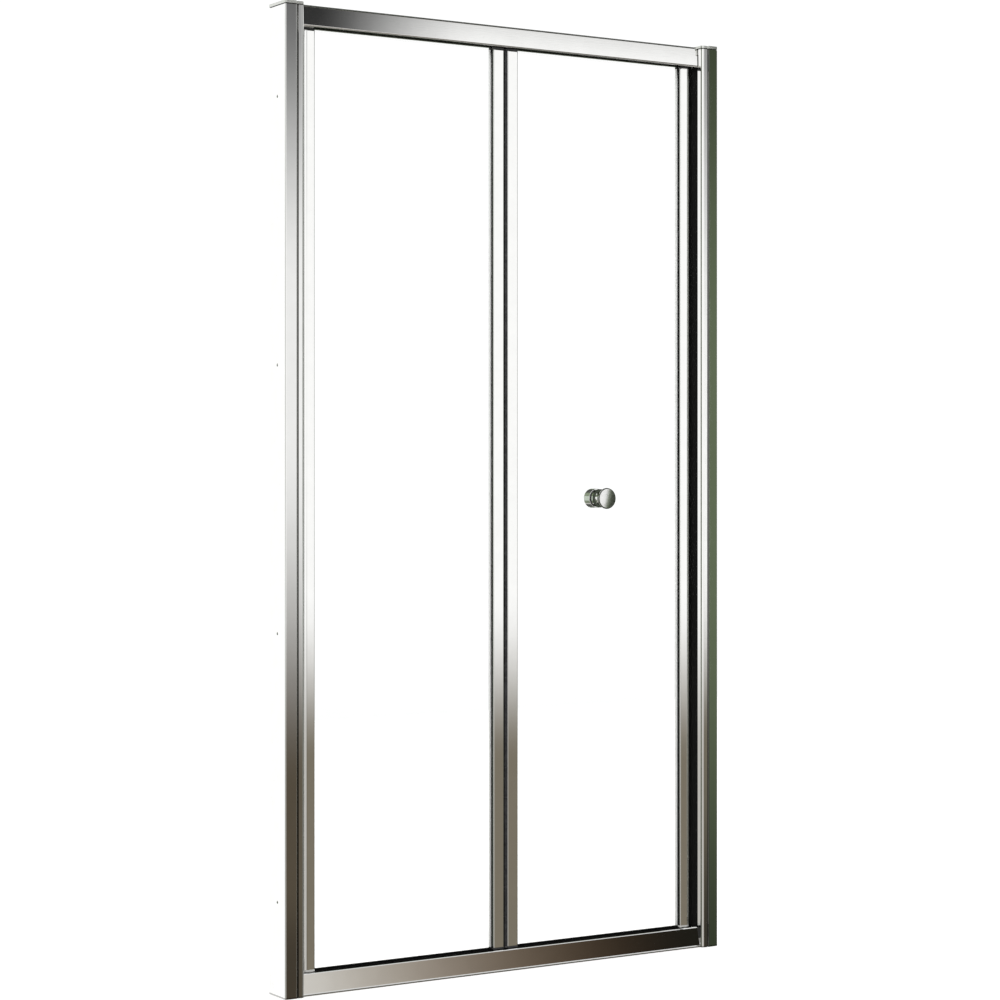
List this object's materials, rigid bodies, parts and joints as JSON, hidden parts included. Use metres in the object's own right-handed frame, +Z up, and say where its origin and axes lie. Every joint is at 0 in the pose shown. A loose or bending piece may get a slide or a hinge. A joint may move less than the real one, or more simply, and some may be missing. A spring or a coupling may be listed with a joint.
{
  "type": "bifold shower door",
  "caption": "Bifold shower door with two framed clear glass leaves, a round knob, a top and bottom rail and a wall profile at each side.",
  "frame": {"origin": "on the floor under the middle of the door, in the middle plane of the shut leaves", "axes": "+X along the door from the pivot side to the closing side, +Y into the shower, +Z up"},
  "size_m": [1, 0.0726, 1.852],
  "materials": {
    "polished_aluminium": "bright polished, silver",
    "cap_plastic": "moulded, light grey",
    "black_liner": "extruded, satin black",
    "black_rubber": "soft black seal",
    "white_nylon": "moulded, off-white",
    "dark_plastic": "moulded, dark grey",
    "dark_hinge_metal": "anodised, dark grey",
    "magnet_strip": "flexible magnet strip, brown black",
    "stainless_steel": "plain turned steel",
    "clear_glass": "clear, faint green edge",
    "chromed_knob": "polished chrome plate",
    "clear_plastic": "clear moulded"
  },
  "bodies": {
    "frame": {"left_wall_profile": "polished_aluminium", "right_wall_profile": "polished_aluminium", "left_jamb": "polished_aluminium", "right_jamb": "polished_aluminium", "left_wall_profile_cap": "cap_plastic", "right_wall_profile_cap": "cap_plastic", "left_jamb_cap": "cap_plastic", "right_jamb_cap": "cap_plastic", "top_rail": "polished_aluminium", "bottom_rail": "polished_aluminium", "top_track": "black_liner", "bottom_track": "black_liner", "rail_screws": "stainless_steel", "left_jamb_screws": "stainless_steel", "right_jamb_screws": "stainless_steel", "left_screw_covers": "cap_plastic", "right_screw_covers": "cap_plastic", "top_pivot_block": "white_nylon", "bottom_pivot_block": "white_nylon", "thrust_washer": "stainless_steel", "travel_stops": "black_rubber", "pivot_seal": "black_rubber", "closing_seal": "black_rubber", "jamb_magnet": "magnet_strip"},
    "left_leaf": {"left_glass": "clear_glass", "pivot_stile": "polished_aluminium", "left_hinge_stile": "polished_aluminium", "left_front_gaskets": "black_rubber", "left_rear_gaskets": "clear_plastic", "pivot_stile_top_cap": "dark_plastic", "pivot_stile_bottom_cap": "white_nylon", "left_hinge_stile_caps": "dark_plastic", "top_pivot_pin": "stainless_steel", "bottom_pivot_pin": "stainless_steel", "left_hinge_strip": "dark_hinge_metal", "left_hinge_screws": "stainless_steel", "hinge_pin": "stainless_steel", "hinge_seal": "black_rubber", "left_bottom_seal": "black_rubber"},
    "right_leaf": {"right_glass": "clear_glass", "right_hinge_stile": "polished_aluminium", "closing_stile": "polished_aluminium", "right_front_gaskets": "black_rubber", "right_rear_gaskets": "clear_plastic", "closing_stile_top_cap": "dark_plastic", "closing_stile_bottom_cap": "white_nylon", "right_hinge_stile_caps": "dark_plastic", "right_hinge_strip": "dark_hinge_metal", "right_hinge_screws": "stainless_steel", "right_bottom_seal": "black_rubber", "leaf_magnet": "magnet_strip", "top_guide_pin": "stainless_steel", "bottom_guide_pin": "stainless_steel", "front_knob": "chromed_knob", "rear_knob": "chromed_knob", "knob_screw": "stainless_steel", "knob_washers": "black_rubber", "knob_bush": "clear_plastic"},
    "top_roller": {"top_guide_roller": "white_nylon"},
    "bottom_roller": {"bottom_guide_roller": "white_nylon"}
  },
  "joints": [
    {"name": "leaf_pivot", "type": "hinge", "parent": "frame", "child": "left_leaf", "pos_m": [-0.4374, 0, 0.0386], "axis": [0, 0, 1], "range_deg": [0, 80]},
    {"name": "leaf_fold", "type": "hinge", "parent": "left_leaf", "child": "right_leaf", "pos_m": [0.006, -0.011, 0.9246], "axis": [0, 0, 1], "range_deg": [-160, 0]},
    {"name": "top_roller_turn", "type": "hinge", "parent": "right_leaf", "child": "top_roller", "pos_m": [0.4494, 0, 1.824], "axis": [0, 0, 1], "continuous": true},
    {"name": "bottom_roller_turn", "type": "hinge", "parent": "right_leaf", "child": "bottom_roller", "pos_m": [0.4494, 0, 0.0215], "axis": [0, 0, 1], "continuous": true}
  ],
  "couplings": [
    {"joint": "leaf_fold", "follows": "leaf_pivot", "ratio": -2}
  ]
}
